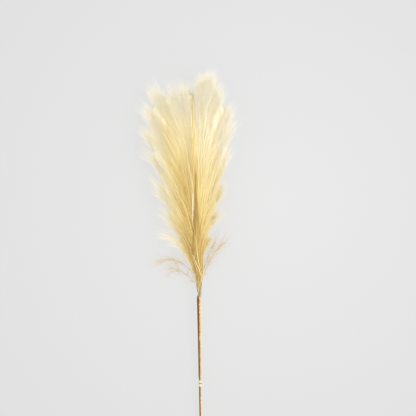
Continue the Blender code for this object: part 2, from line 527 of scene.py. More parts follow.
@dataclass(frozen=True)
class StrawFinish:
    """Dry cane or leaf: long streaks of colour, darker on the left, partly its own brown and partly painted
    shade, with painted light and painted glints on the right, and pale joints.
    """

    name: str
    form: StemForm
    # pale is painted light on the stem's right; dark is painted shade on its left, partly the straw's own
    # brown, and also the colour of the joints' rim line.
    pale: Colour
    middle: Colour
    dark: Colour
    # The colour of the painted glints, spots of painted highlight on the stem's right.
    fleck: Colour
    half_width: float
    joint: Colour = (0.80, 0.78, 0.50)
    roughness: float = 0.6
    shine: float = 0.12
    # Where the dark painted shade, the straw's own middle colour and the pale painted light stand, from left
    # to right across the stem.
    sides: tuple[float, float, float] = (0.45, 0.56, 0.78)
    ragged: float = 1.6
    ragged_share: float = 0.25
    streak_stretch: tuple[float, float, float] = (900.0, 16.0, 900.0)
    streak_detail: float = 3.0
    streak_edge: Range = (0.38, 0.64)
    streak_share: float = 0.22
    patch_scale: float = 230.0
    patch_detail: float = 2.0
    # Where the painted glints show in the patchy noise, and how they come in towards the stem's right side.
    fleck_edge: Range = (0.60, 0.70)
    fleck_side: float = 5.0
    joint_ring: Ring = Ring(0.0075, 3.0, 0.85)
    joint_rim: Ring = Ring(0.0011, 2.0, 0.80)
    bump_strength: float = 0.4
    bump_depth: float = 0.0003
    fitted: Range = (-0.54, 0.02)
    fitted_points: int = 40

    def across(self, wiring: Wiring, parts: bpy.types.NodeOutputs, patch: Socket) -> Socket:
        """Wires how far across the stem a point is.

        Args:
            wiring: The material's wiring.
            parts: The point's place, split into X, Y and Z.
            patch: Patchy noise, which makes the colours' edges ragged.

        Returns:
            From 0 on the left to 1 on the right.
        """
        middle = self.form.centre(np.linspace(*self.fitted, self.fitted_points))
        square, slope, base = (float(one) for one in np.polyfit(middle[:, 1], middle[:, 0], 2))
        line = wiring.sum(Sum.ADD, wiring.product(parts["Y"], square), slope)
        line = wiring.sum(Sum.ADD, wiring.product(line, parts["Y"]), base)
        off = wiring.sum(Sum.SUBTRACT, parts["X"], line)
        off = wiring.product(wiring.sum(Sum.DIVIDE, off, self.half_width), 0.5)
        ragged = wiring.product(wiring.sum(Sum.SUBTRACT, patch, 0.5), self.ragged, self.ragged_share)
        return wiring.sum(Sum.ADD, wiring.sum(Sum.ADD, off, ragged), 0.5)

    def jointed(self, wiring: Wiring, along: Socket, colour: Socket) -> Socket:
        """Lays a pale ring with a dark rim line round each joint.

        Args:
            wiring: The material's wiring.
            along: The point's place along +Y.
            colour: The straw's colour.

        Returns:
            The colour with the rings.
        """
        for joint in self.form.joints:
            off = wiring.sum(Sum.SUBTRACT, along, joint - self.form.middle_along)
            far = wiring.sum(Sum.ABSOLUTE, off)
            for ring, paint in ((self.joint_ring, self.joint), (self.joint_rim, self.dark)):
                near = wiring.sum(Sum.SUBTRACT, 1.0, wiring.sum(Sum.DIVIDE, far, ring.half_width))
                share = wiring.held(wiring.product(near, ring.steepness), ring.cover)
                colour = wiring.mixed(share, colour, paint)
        return colour

    def material(self) -> bpy.types.Material:
        """Builds the straw's material.

        Returns:
            The material.
        """
        made, wiring, shader = blank_material(self.name)
        place = wiring.add("ShaderNodeTexCoord").outputs["Object"]
        parts = wiring.add("ShaderNodeSeparateXYZ", {"Vector": place}).outputs
        stretched = wiring.result("ShaderNodeMapping", {"Vector": place, "Scale": self.streak_stretch})
        given = {"Vector": stretched, "Scale": 1.0, "Detail": self.streak_detail}
        streak = wiring.result("ShaderNodeTexNoise", given)
        given = {"Vector": place, "Scale": self.patch_scale, "Detail": self.patch_detail}
        patch = wiring.result("ShaderNodeTexNoise", given)
        across = self.across(wiring, parts, patch)
        # Darker on the left and paler on the right: painted shade and painted light across the stem, over its
        # own brown.
        stops = tuple(zip(self.sides, (self.dark, self.middle, self.pale)))
        colour = wiring.ramp(across, stops)
        black_to_white = ((0.0, 0.0, 0.0), (1.0, 1.0, 1.0))
        streaks = wiring.ramp(streak, tuple(zip(self.streak_edge, black_to_white)))
        colour = wiring.mixed(wiring.product(streaks, self.streak_share), colour, self.middle)
        # Painted glints: spots of painted highlight, only on the lit right side.
        lit = wiring.held(wiring.product(wiring.sum(Sum.SUBTRACT, across, 0.5), self.fleck_side))
        painted_glints = wiring.ramp(patch, tuple(zip(self.fleck_edge, black_to_white)))
        colour = wiring.mixed(wiring.product(painted_glints, lit), colour, self.fleck)
        given = {"Strength": self.bump_strength, "Distance": self.bump_depth, "Height": streak}
        given = {
            "Base Color": self.jointed(wiring, parts["Y"], colour),
            "Normal": wiring.result("ShaderNodeBump", given),
            "Roughness": self.roughness,
            "Specular IOR Level": self.shine,
        }
        wiring.fill(shader, given)
        return made


# Hair -----------------------------------------------------------------------------------------------


def input_name(size: str) -> str:
    """Names the hair tree's input for a size."""
    return size.replace("_", " ").title()


@dataclass(frozen=True)
class HairSizes:
    """The sizes of the hair on one piece's strands."""

    hairs: int
    root_spread: float
    tip_spread: float
    hair_radius: float
    tuft_radius: float
    tuft_length: float
    wave: float

    def inputs(self) -> dict[str, float]:
        """Names each size as the hair tree's inputs are named."""
        return {input_name(name): size for name, size in asdict(self).items()}


@dataclass(frozen=True)
class Section:
    """The section of a hair or a tuft: its sides, how flat it is and how its tone runs round it."""

    sides: int
    flat: float
    tone_share: float
    tone_shift: float


@dataclass(frozen=True)
class CurveWiring(Wiring):
    """Wiring for a tree that bends, cuts and skins curves."""

    def position(self) -> Socket:
        """Reads where each point is."""
        return self.result("GeometryNodeInputPosition")

    def way(self) -> Socket:
        """Reads each point's share of the way along its curve."""
        return self.result("GeometryNodeSplineParameter")

    def own(self, name: str, kind: str = "FLOAT") -> Socket:
        """Reads one of the strands' own values."""
        return self.result("GeometryNodeInputNamedAttribute", {"Name": name}, data_type=kind)

    def chance(self, low: Given, high: Given, seed: Socket, draw: Draw) -> Socket:
        """Draws a random number or vector for each part.

        Args:
            low: The least that it may be.
            high: The most.
            seed: The piece's seed.
            draw: Which draw it is.

        Returns:
            What is drawn.
        """
        kind = "FLOAT_VECTOR" if isinstance(low, tuple) else "FLOAT"
        given = {"Min": low, "Max": high, "Seed": self.sum(Sum.ADD, seed, draw.value)}
        return self.result("FunctionNodeRandomValue", given, data_type=kind)

    def captured(self, geometry: Socket, domain: str, **values: tuple[str, Socket]) -> bpy.types.NodeOutputs:
        """Keeps values on geometry as they are now.

        Args:
            geometry: The geometry.
            domain: Which parts of it the values belong to.
            values: Each value's kind and the value itself, by its name.

        Returns:
            The outputs, which are the geometry and each value by its name.
        """
        node = self.add("GeometryNodeCaptureAttribute", {"Geometry": geometry}, domain=domain)
        for name, (kind, value) in values.items():
            node.capture_items.new(kind, name)
            self.fill(node, {name: value})
        return node.outputs

    def cut(self, curve: Socket, start: Given, end: Given, count: int) -> Socket:
        """Cuts each curve to a part of its length, with an even run of points.

        Args:
            curve: The curves.
            start: The share of the length where the part starts.
            end: The share where it ends.
            count: How many points the part gets.

        Returns:
            The cut curves.
        """
        given = {"Curve": curve, "Start": start, "End": end}
        part = self.result("GeometryNodeTrimCurve", given, mode="FACTOR")
        return self.result("GeometryNodeResampleCurve", {"Curve": part, "Count": count})

    def shifted(self, geometry: Socket, offset: Socket, scale: Socket) -> Socket:
        """Moves each of a geometry's points by its own offset, times a scale."""
        scaled = self.result("ShaderNodeVectorMath", {0: offset, "Scale": scale}, operation="SCALE")
        return self.result("GeometryNodeSetPosition", {"Geometry": geometry, "Offset": scaled})

    def above_floor(self, curve: Socket, clearance: Given) -> Socket:
        """Lays what would pass below the floor on the floor.

        Args:
            curve: The curves.
            clearance: The least height that a point may have.

        Returns:
            The curves, none of them below the floor.
        """
        parts = self.add("ShaderNodeSeparateXYZ", {"Vector": self.position()}).outputs
        height = self.sum(Sum.MAXIMUM, parts["Z"], clearance)
        place = self.result("ShaderNodeCombineXYZ", {"X": parts["X"], "Y": parts["Y"], "Z": height})
        return self.result("GeometryNodeSetPosition", {"Geometry": curve, "Position": place})

    def skinned(self, curve: Socket, scale: Socket, section: Section) -> Socket:
        """Skins curves, with their flat side outwards, and writes their shade to the UV map.

        Args:
            curve: The curves.
            scale: The section's radius at each point.
            section: The section's form and shading.

        Returns:
            The mesh.
        """
        given = {"Curve": curve, "Normal": self.own("out", "FLOAT_VECTOR")}
        curve = self.result("GeometryNodeSetCurveNormal", given, mode="FREE")
        given = {"Resolution": section.sides, "Radius": 1.0}
        ring = self.result("GeometryNodeCurvePrimitiveCircle", given, mode="RADIUS")
        ring = self.captured(ring, "POINT", turn=("FLOAT", self.way()))
        given = {"Scale": (section.flat, 1.0, 1.0), "Rotation": (0.0, 0.0, math.pi)}
        pressed = self.result("GeometryNodeTransform", {"Geometry": ring["Geometry"], **given})
        given = {"Curve": curve, "Scale": scale, "Profile Curve": pressed, "Fill Caps": True}
        skin = self.result("GeometryNodeCurveToMesh", given)
        turn = self.sum(Sum.ADD, self.product(ring["turn"], section.tone_share), section.tone_shift)
        given = {"X": self.sum(Sum.ADD, self.own("tone"), turn), "Y": self.own("pale")}
        shade = self.result("ShaderNodeCombineXYZ", given)
        given = {"Geometry": skin, "Name": HAIR_MAP, "Value": shade}
        mapped = self.result("GeometryNodeStoreNamedAttribute", given, data_type="FLOAT2", domain="CORNER")
        return self.result("GeometryNodeSetShadeSmooth", {"Geometry": mapped, "Shade Smooth": False})


@dataclass(frozen=True)
class HairTree:
    """The Geometry Nodes tree that grows a tuft of close hair, and loose hairs, along each strand."""

    name: str = "grow_hair"
    wave_scale: float = 30.0
    wave_detail: float = 2.0
    tuft_points: int = 6
    tuft_section: Section = Section(4, 0.22, 0.12, -0.10)
    tuft_thickness: Range = (0.6, 1.3)
    tuft_fullness: float = 0.7
    tuft_end: float = 0.07
    tuft_clearance: float = 0.0004
    hair_points: int = 3
    hair_section: Section = Section(3, 0.4, 0.012, 0.0)
    hair_thickness: Range = (0.7, 1.25)
    hair_starts: Range = (0.25, 0.80)
    hair_lengths: Range = (0.22, 0.40)
    hair_fan: float = 1.25
    hair_tip: float = 0.22
    hair_clearance: float = 0.0005

    def tuft(self, wiring: CurveWiring, given: bpy.types.NodeOutputs, strands: Socket) -> Socket:
        """Wires a tuft of close hair on each strand.

        Args:
            wiring: The tree's wiring.
            given: The tree's inputs.
            strands: The strands' curves.

        Returns:
            The tufts' mesh.
        """
        thick = wiring.chance(*self.tuft_thickness, given["Seed"], Draw.TUFT_THICKNESS)
        body = wiring.captured(strands, "CURVE", thick=("FLOAT", thick))
        tuft = wiring.cut(body["Geometry"], 0.0, given["Tuft Length"], self.tuft_points)
        way = wiring.way()
        swell = wiring.product(way, wiring.sum(Sum.SUBTRACT, 1.0, way), 4.0)
        swell = wiring.sum(Sum.MAXIMUM, wiring.sum(Sum.POWER, swell, self.tuft_fullness), self.tuft_end)
        scale = wiring.product(given["Tuft Radius"], body["thick"], swell, wiring.own("body"))
        tuft = wiring.above_floor(tuft, wiring.sum(Sum.ADD, scale, self.tuft_clearance))
        return wiring.skinned(tuft, scale, self.tuft_section)

    def loose_hair(self, wiring: CurveWiring, given: bpy.types.NodeOutputs, strands: Socket) -> Socket:
        """Wires the loose hairs round each strand.

        Args:
            wiring: The tree's wiring.
            given: The tree's inputs.
            strands: The strands' curves.

        Returns:
            The hairs' mesh.
        """
        amount = wiring.sum(Sum.ROUND, wiring.product(given["Hairs"], wiring.own("loose")))
        inputs = {"Geometry": strands, "Amount": amount}
        copies = wiring.result("GeometryNodeDuplicateElements", inputs, domain="SPLINE")
        lean = wiring.chance((-1.0, -1.0, -1.0), (1.0, 1.0, 1.0), given["Seed"], Draw.HAIR_LEAN)
        thick = wiring.chance(*self.hair_thickness, given["Seed"], Draw.HAIR_THICKNESS)
        kept = wiring.captured(copies, "CURVE", lean=("VECTOR", lean), thick=("FLOAT", thick))
        start = wiring.chance(*self.hair_starts, given["Seed"], Draw.HAIR_START)
        length = wiring.chance(*self.hair_lengths, given["Seed"], Draw.HAIR_LENGTH)
        end = wiring.sum(Sum.ADD, start, length)
        hair = wiring.cut(kept["Geometry"], start, end, self.hair_points)
        way = wiring.way()
        spread = wiring.product(wiring.sum(Sum.POWER, way, self.hair_fan), given["Tip Spread"])
        spread = wiring.sum(Sum.ADD, spread, given["Root Spread"])
        hair = wiring.shifted(hair, kept["lean"], spread)
        inputs = {"Value": way, "To Min": 1.0, "To Max": self.hair_tip}
        taper = wiring.result("ShaderNodeMapRange", inputs)
        scale = wiring.product(given["Hair Radius"], kept["thick"], taper)
        return wiring.skinned(wiring.above_floor(hair, self.hair_clearance), scale, self.hair_section)

    def build(self) -> bpy.types.NodeTree:
        """Builds the tree, with its sizes as named inputs.

        Returns:
            The tree.
        """
        tree = bpy.data.node_groups.new(self.name, "GeometryNodeTree")
        kinds = {"Strands": "Geometry", "Seed": "Int", "Finish": "Material"}
        kinds |= {input_name(size.name): size.type.__name__.title() for size in fields(HairSizes)}
        for name, kind in kinds.items():
            tree.interface.new_socket(name, in_out="INPUT", socket_type=f"NodeSocket{kind}")
        tree.interface.new_socket("Hair", in_out="OUTPUT", socket_type="NodeSocketGeometry")
        wiring = CurveWiring(tree)
        given = wiring.add("NodeGroupInput").outputs
        strands = wiring.result("GeometryNodeMeshToCurve", {"Mesh": given["Strands"]})
        settings = {"Vector": wiring.position(), "Scale": self.wave_scale, "Detail": self.wave_detail}
        swirl = wiring.add("ShaderNodeTexNoise", settings).outputs["Color"]
        wave = wiring.result("ShaderNodeVectorMath", {0: swirl, 1: (0.5, 0.5, 0.5)}, operation="SUBTRACT")
        strands = wiring.shifted(strands, wave, wiring.product(wiring.way(), given["Wave"]))
        both = wiring.add("GeometryNodeJoinGeometry")
        for part in (self.loose_hair, self.tuft):
            wiring.fill(both, {"Geometry": part(wiring, given, strands)})
        whole = wiring.result("GeometryNodeRealizeInstances", {"Geometry": both.outputs["Geometry"]})
        dressed = wiring.result("GeometryNodeSetMaterial", {"Geometry": whole, "Material": given["Finish"]})
        wiring.add("NodeGroupOutput", {"Hair": dressed})
        return tree


@dataclass(frozen=True)
class Strands:
    """Strands for one piece: their points and outward ways, and each point's share of thickness, of
    loose hairs, of tone and of paleness."""

    paths: np.ndarray
    out: np.ndarray
    body: np.ndarray
    loose: np.ndarray
    tone: np.ndarray
    pale: np.ndarray

    @staticmethod
    def joined(parts: list["Strands"]) -> "Strands":
        """Joins several sets of strands."""
        names = [field.name for field in fields(Strands)]
        return Strands(*(np.concatenate([getattr(part, name) for part in parts]) for name in names))

    def mesh(self, name: str) -> bpy.types.Mesh:
        """Turns the strands into a mesh of bare lines, with their values on its points.

        Args:
            name: The mesh's name.

        Returns:
            The mesh.
        """
        count, steps, _ = self.paths.shape
        made = bpy.data.meshes.new(name)
        index = np.arange(count * steps).reshape(count, steps)
        edges = np.stack((index[:, :-1].ravel(), index[:, 1:].ravel()), axis=1)
        made.from_pydata(self.paths.reshape(-1, 3).tolist(), edges.tolist(), [])
        for label in ("body", "loose", "tone", "pale"):
            layer = made.attributes.new(label, "FLOAT", "POINT")
            layer.data.foreach_set("value", getattr(self, label).astype(np.float32).ravel())
        layer = made.attributes.new("out", "FLOAT_VECTOR", "POINT")
        layer.data.foreach_set("vector", self.out.astype(np.float32).ravel())
        return made


@dataclass(frozen=True)
class Grower:
    """Grows hair along strands with the node tree and keeps it as plain meshes."""

    tree: bpy.types.NodeTree
    finish: bpy.types.Material

    def grow(self, name: str, strands: Strands, sizes: HairSizes, seed: int) -> bpy.types.Object:
        """Grows one piece of hair.

        Args:
            name: The piece's name.
            strands: The strands.
            sizes: The hair's sizes.
            seed: Fixes the random draws.

        Returns:
            The finished piece.
        """
        host = bpy.data.objects.new(name + "_strands", strands.mesh(name + "_strands"))
        bpy.context.scene.collection.objects.link(host)
        grown = host.modifiers.new("hair", "NODES")
        grown.node_group = self.tree
        settings = {**sizes.inputs(), "Seed": seed, "Finish": self.finish}
        for item in self.tree.interface.items_tree:
            if item.in_out == "INPUT" and item.name in settings:
                grown[item.identifier] = settings[item.name]
        ready = host.evaluated_get(bpy.context.evaluated_depsgraph_get())
        mesh = bpy.data.meshes.new_from_object(ready)
        mesh.name = name
        bpy.data.objects.remove(host)
        return placed(name, mesh)


def placed(name: str, mesh: bpy.types.Mesh) -> bpy.types.Object:
    """Puts a finished piece of the plume into the scene.

    Args:
        name: The piece's name.
        mesh: Its mesh.

    Returns:
        The piece.
    """
    piece = bpy.data.objects.new(name, mesh)
    bpy.context.scene.collection.objects.link(piece)
    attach(piece, "root")
    return piece


@dataclass(frozen=True)
class HairShades:
    """How the hair's colour runs over the plume: golden low and in the middle, cream high and wide."""

    form: StemForm
    # Paleness by place along the stem, and its gain towards both sides.
    rise: SmoothLine = SmoothLine(
        (
            (0.0, 0.0), (0.036, 0.10), (0.13, 0.33), (0.187, 0.47), (0.237, 0.60), (0.262, 0.66),
            (0.288, 0.74), (0.34, 0.85), (0.40, 0.98), (0.46, 1.05),
        )
    )
    left_gain: float = 0.18
    right_gain: float = 0.38
    gain_loss: float = 1.2
    climb_along: float = 0.13
    climb_length: float = 0.30
    climbs: Range = (-0.3, 0.9)
    edge_most: float = 1.3
    foot_width: float = 0.012
    widening: float = 0.38
    widest: float = 0.10
    # The dark parting on the upper side, partly deeper golden hair and partly painted shade in its crease,
    # and painted light on a lock beside it.
    seam: SmoothLine = SmoothLine(
        (
            (0.030, -0.0086), (0.098, -0.0092), (0.122, -0.0052), (0.150, -0.0034), (0.200, -0.0009),
            (0.232, 0.0), (0.262, -0.0030), (0.340, -0.0036), (0.400, 0.0010),
        )
    )
    seam_width: float = 0.0019
    seam_depth: float = 0.46
    seam_window: tuple[float, float, float, float] = (0.05, 0.08, 0.20, 0.42)
    top_depth: float = 0.01
    lit_side: float = -0.0044
    lit_along: float = 0.19
    lit_width: float = 0.0014
    lit_length: float = 0.035
    lit_gain: float = 0.35
    # The golden band on the left, and the pale fringe past it.
    band: SmoothLine = SmoothLine(
        (
            (0.08, -0.0070), (0.111, -0.0100), (0.187, -0.0195), (0.2625, -0.0362), (0.313, -0.0497),
            (0.365, -0.0587),
        )
    )
    band_width: float = 0.016
    band_depth: float = 0.15
    band_window: tuple[float, float, float, float] = (0.10, 0.13, 0.24, 0.44)
    fringe_gap: float = 0.012
    fringe_foot: float = 0.020
    fringe_widening: float = 0.10
    fringe_gain: float = 0.30
    low_fringe: Range = (0.15, 0.09)
    low_fringe_gain: float = 0.06
    # The palest that hair gets, before its random spread.
    palest: float = 0.95
    # Tone by height, with painted light at the crown and painted shade on the right, the side that faces the
    # lamp.
    tones: Range = (0.60, 0.72)
    high: float = 0.42
    crown: Range = (0.32, 0.38)
    crown_gain: float = 0.10
    dimmed: float = 0.16
    dimmed_side: float = 0.030

    def side(self, place: np.ndarray) -> np.ndarray:
        """Measures how far places lie to the right of the rachis."""
        return place[..., 0] - self.form.centre(self.form.along(place))[..., 0]

    def climb(self, place: np.ndarray) -> np.ndarray:
        """Tells how high up the plume places are, from 0 to 1."""
        return between(self.form.along(place), 0.0, self.high)

    def tone(self, place: np.ndarray) -> np.ndarray:
        """Finds the tone of hair: lighter high up, with painted light at the crown and painted shade on the
        side that faces the lamp.

        Args:
            place: Places on the hair.

        Returns:
            The tone at each place, before any random spread.
        """
        # Painted light at the crown, and painted shade on the lamp's side.
        crown = self.crown_gain * between(self.form.along(place), *self.crown)
        dim = self.dimmed * between(self.side(place), 0.0, self.dimmed_side)
        return blended(self.tones, self.climb(place)) + crown - dim

    def parting(self, along: np.ndarray, side: np.ndarray) -> np.ndarray:
        """Finds how the parting's darker hair, partly painted shade, and the painted light on a lock beside
        it change the paleness.

        Args:
            along: Places along the stem.
            side: How far they lie to the right of the rachis.

        Returns:
            The change at each place.
        """
        off = side - self.seam.at(along)
        # lit is painted light on the lock beside the parting; seam is the parting's painted shade over its
        # golden hair.
        lit = bell(off - self.lit_side, self.lit_width) * bell(along - self.lit_along, self.lit_length)
        seam = window(along, self.seam_window) * bell(off, self.seam_width)
        return self.lit_gain * lit - self.seam_depth * seam

    def left_edge(self, along: np.ndarray, side: np.ndarray) -> np.ndarray:
        """Finds how the golden band on the left and the pale fringe past it change the paleness.

        Args:
            along: Places along the stem.
            side: How far they lie to the right of the rachis.

        Returns:
            The change at each place.
        """
        past = self.band.at(along) - side
        band = self.band_depth * window(along, self.band_window) * bell(past, self.band_width)
        width = self.fringe_foot + self.fringe_widening * along
        fringe = between(past, self.fringe_gap, self.fringe_gap + width)
        return (self.fringe_gain + self.low_fringe_gain * between(along, *self.low_fringe)) * fringe - band

    def pale(self, place: np.ndarray) -> np.ndarray:
        """Finds the paleness of hair.

        Args:
            place: Places on the hair.

        Returns:
            The paleness at each place, before any random spread.
        """
        along, side = self.form.along(place), self.side(place)
        wide = np.minimum(self.foot_width + self.widening * along, self.widest)
        edge = np.clip(np.abs(side) / (0.5 * wide), 0.0, self.edge_most)
        climb = np.clip((along - self.climb_along) / self.climb_length, *self.climbs)
        gain = np.where(side > 0.0, self.right_gain, self.left_gain) * edge * (1.0 - self.gain_loss * climb)
        above = between(place[..., 2] - self.form.centre(along)[..., 2], 0.0, self.top_depth)
        pale = self.rise.at(along) + gain + above * self.parting(along, side) + self.left_edge(along, side)
        return np.minimum(pale, self.palest)


# Plume ----------------------------------------------------------------------------------------------


@dataclass(frozen=True)
class Closing:
    """How a form closes at its end: how late it starts to close and how sharp it gets."""

    late: float
    sharp: float

    def at(self, part: np.ndarray) -> np.ndarray:
        """Gives 1 where the form is open and falls to 0 at its end, where the part is 1."""
        return np.clip(1.0 - part**self.late, 0.0, 1.0) ** self.sharp


@dataclass(frozen=True)
class Heart:
    """The plume's dense inner hair, one closed form that the loose hair lies on."""

    form: StemForm
    finish: bpy.types.Material
    shades: HairShades
    # Where it starts on the rachis, and the ragged line of its top.
    start: float = 0.006
    top: SmoothLine = SmoothLine(
        (
            (-0.115, 0.335), (-0.092, 0.370), (-0.060, 0.396), (-0.028, 0.400), (-0.004, 0.398),
            (0.018, 0.416), (0.032, 0.416), (0.050, 0.390), (0.075, 0.362), (0.095, 0.335),
        )
    )
    ragged: float = 0.006
    ragged_share: float = 0.6
    ragged_power: int = 6
    tuft_columns: int = 4
    # How finely it is meshed.
    rings: int = 72
    columns: int = 520
    # How the branches' reach is measured and smoothed.
    shells: int = 60
    share_end: float = 0.97
    smoothings: int = 6
    hold: float = 0.93
    least_reach: float = 1e-5
    # How much of that reach it fills, and how it opens and closes.
    fill_side: SmoothLine = SmoothLine(
        ((0.0, 0.95), (0.02, 0.90), (0.055, 0.60), (0.11, 0.65), (0.16, 0.70), (0.40, 0.70))
    )
    fill_up: float = 1.30
    side_close: Closing = Closing(late=150.0, sharp=0.5)
    up_close: Closing = Closing(late=2.2, sharp=0.8)
    opening: float = 0.10
    opening_power: float = 0.6
    # How pointed its two sides are, and the teeth along them.
    edge: float = 1.45
    tooth: float = 0.05
    tooth_length: float = 0.045
    tooth_shift: float = 0.45
    tooth_edge_power: int = 9
    # Its swells, its fine ridges and its parting.
    swell: float = 0.10
    swell_round: float = 3.0
    swell_along: float = 8.0
    ridge: float = 0.0002
    ridge_drift: float = 0.4
    fine_depth: float = 0.012
    parting: float = 0.0036
    parting_width: float = 0.0040
    parting_window: tuple[float, float, float, float] = (0.0, 0.12, 0.26, 0.56)
    # The least height of its points, and the grid that strands are combed on.
    floor_gap: float = 0.004
    comb_reach: float = 0.13
    comb_steps: int = 105
    # Where a strand counts as outside its edge.
    edge_share: float = 0.85
    edge_width: float = 0.010
    edge_under: float = 0.008
    # The shading of its strands and of its two end points; tone_shift lays a little painted shade over the
    # whole form, for the hair deep under the strands.
    strand_drift: float = 0.35
    strand_tone: float = 0.11
    tone_shift: float = -0.06
    strand_pale: float = 0.08
    pale_calm: float = 0.25
    calm_from: Range = (0.075, 0.150)
    first_shade: Shade = (0.4, 0.3)
    last_shade: Shade = (0.4, 0.8)
    shape_seed: int = 8
    shade_seed: int = 9

    @cached_property
    def turn(self) -> np.ndarray:
        """Each column's angle round the rachis."""
        return np.arange(self.columns) * 2 * math.pi / self.columns

    @cached_property
    def part(self) -> np.ndarray:
        """Each ring's share of the way from the form's start to its top."""
        return np.linspace(0.0, 1.0, self.rings)

    @cached_property
    def levels(self) -> np.ndarray:
        """Where each ring crosses the rachis, along the stem."""
        return np.linspace(self.start, float(self.top.at(0.0)), self.rings)

    def reach(self) -> np.ndarray:
        """Measures how far the branches reach at each ring.

        Returns:
            The reach to the right, upwards, to the left and downwards, for each ring.
        """
        form, along = self.form, self.levels
        tiers = np.linspace(0.0, form.last_tier, self.shells)[:, None, None]
        start, tip = form.tier_value(tiers, "start"), form.tier_value(tiers, "tip")
        share = (along[None, :, None] - start) / (tip - start)
        four = np.array((0.0, 0.5, 1.0, 1.5)) * math.pi
        places = form.plume_point(tiers, four[None, None, :], np.clip(share, 0.0, 1.0))
        offset = places - form.centre(along)[None, :, None, :]
        offset[..., 1] = 0.0
        reach = np.linalg.norm(offset, axis=-1)
        reach = np.where((share >= 0.0) & (share <= self.share_end), reach, 0.0).max(axis=0)
        for _ in range(self.smoothings):
            reach[1:-1] = (reach[:-2] + 2 * reach[1:-1] + reach[2:]) / 4
        widest = reach.argmax(axis=0)
        for way in (0, 2):
            upper = reach[widest[way] :, way]
            upper[:] = np.maximum(upper, self.hold * upper.max())
        return reach

    @cached_property
    def shell(self) -> np.ndarray:
        """The form before its ridges.

        Returns:
            How far right of the rachis, and how far over it, each point is.
        """
        along, turn, reach = self.levels, self.turn, self.reach()
        across, over = np.cos(turn), np.sin(turn)
        wide = reach[:, (0, 2)] * (self.fill_side.at(along) * self.side_close.at(self.part))[:, None]
        high = reach[:, (1, 3)] * self.fill_up * self.up_close.at(self.part)[:, None]
        wide = np.maximum(np.where(across > 0.0, wide[:, :1], wide[:, 1:]), self.least_reach)
        high = np.maximum(np.where(over > 0.0, high[:, :1], high[:, 1:]), self.least_reach)
        power = 2.0 / self.edge
        saw = [(along / self.tooth_length + shift) % 1.0 - 0.5 for shift in (0.0, self.tooth_shift)]
        saw = np.where(across > 0.0, saw[0][:, None], saw[1][:, None])
        side = wide * np.sign(across) * np.abs(across) ** power
        side = side * (1.0 + self.tooth * saw * np.abs(across) ** self.tooth_edge_power)
        rise = high * np.sign(over) * np.abs(over) ** power
        spots = self.swell_round * np.stack((across, over), axis=-1)
        swells = [[noise.noise((*spot, place * self.swell_along)) for spot in spots] for place in along]
        opening = between(self.part, 0.0, self.opening)[:, None, None] ** self.opening_power
        return np.stack((side, rise * (1.0 + self.swell * np.array(swells))), axis=-1) * opening

    @cached_property
    def over(self) -> np.ndarray:
        """The form's height with its fine ridges and its parting.

        Returns:
            How far over the rachis each point is.
        """
        side, over = self.shell[..., 0], self.shell[..., 1]
        chance = np.random.default_rng(self.shape_seed)
        ridges = chance.uniform(-1.0, 1.0, (1, self.columns))
        ridges = ridges + chance.uniform(-self.ridge_drift, self.ridge_drift, over.shape)
        off = side - self.shades.seam.at(self.levels)[:, None]
        groove = bell(off, self.parting_width) * (np.sin(self.turn)[None, :] > 0.0)
        groove = groove * window(self.part, self.parting_window)[:, None]
        fine = between(np.abs(over), 0.0, self.fine_depth)
        return over + self.ridge * ridges * fine - self.parting * groove * fine

    @cached_property
    def heights(self) -> np.ndarray:
        """The form's height, read at even places across.

        Returns:
            The height over the rachis and the depth under it, for each ring and place across.
        """
        across = np.linspace(-self.comb_reach, self.comb_reach, self.comb_steps)
        half = self.columns // 2
        grids = []
        for upper in (slice(0, half), slice(half, self.columns)):
            rows = []
            for row in range(self.rings):
                x, z = self.shell[row, upper, 0], np.abs(self.over[row, upper])
                order = np.argsort(x)
                rows.append(np.interp(across, x[order], z[order], left=0.0, right=0.0))
            grids.append(rows)
        return np.array(grids)

    def ring(self, along: np.ndarray, side: np.ndarray) -> np.ndarray:
        """Finds which ring each place is on, with its share of the way to the next ring."""
        return between(along, self.start, self.top.at(side)) * (self.rings - 1)

    def outside(self, place: np.ndarray) -> np.ndarray:
        """Tells how far places stand out past the form's edge, seen from above.

        Args:
            place: The places.

        Returns:
            0 for a place well inside the edge, and 1 for one well outside.
        """
        along = self.form.along(place)
        side = place[..., 0] - self.form.middle(along)[..., 0]
        ring = self.ring(along, side)
        right = np.interp(ring, np.arange(self.rings), self.shell[:, 0, 0])
        left = np.interp(ring, np.arange(self.rings), -self.shell[:, self.columns // 2, 0])
        past_side = np.abs(side) - self.edge_share * np.where(side > 0.0, right, left)
        past_top = along - self.top.at(side) + self.edge_under
        return np.clip(np.maximum(past_side, past_top) / self.edge_width, 0.0, 1.0)

    def comb(self, path: np.ndarray, lift: np.ndarray) -> np.ndarray:
        """Lays strands on the form, keeping the way that they run when seen from above.

        Args:
            path: The strands' points.
            lift: Each point's height over the form.

        Returns:
            The strands' new points.
        """
        along = self.form.along(path)
        middle = self.form.middle(along)
        side, high = path[..., 0] - middle[..., 0], path[..., 2] - middle[..., 2]
        ring = self.ring(along, side)
        step = between(side, -self.comb_reach, self.comb_reach) * (self.comb_steps - 1)
        row = np.minimum(ring.astype(int), self.rings - 2)
        column = np.minimum(step.astype(int), self.comb_steps - 2)
        up, over = ring - row, step - column
        most = (
            self.heights[:, row, column] * (1 - up) * (1 - over)
            + self.heights[:, row, column + 1] * (1 - up) * over
            + self.heights[:, row + 1, column] * up * (1 - over)
            + self.heights[:, row + 1, column + 1] * up * over
        )
        laid = path.copy()
        laid[..., 2] = middle[..., 2] + np.where(high > 0.0, most[0] + lift, -most[1] - lift)
        return laid

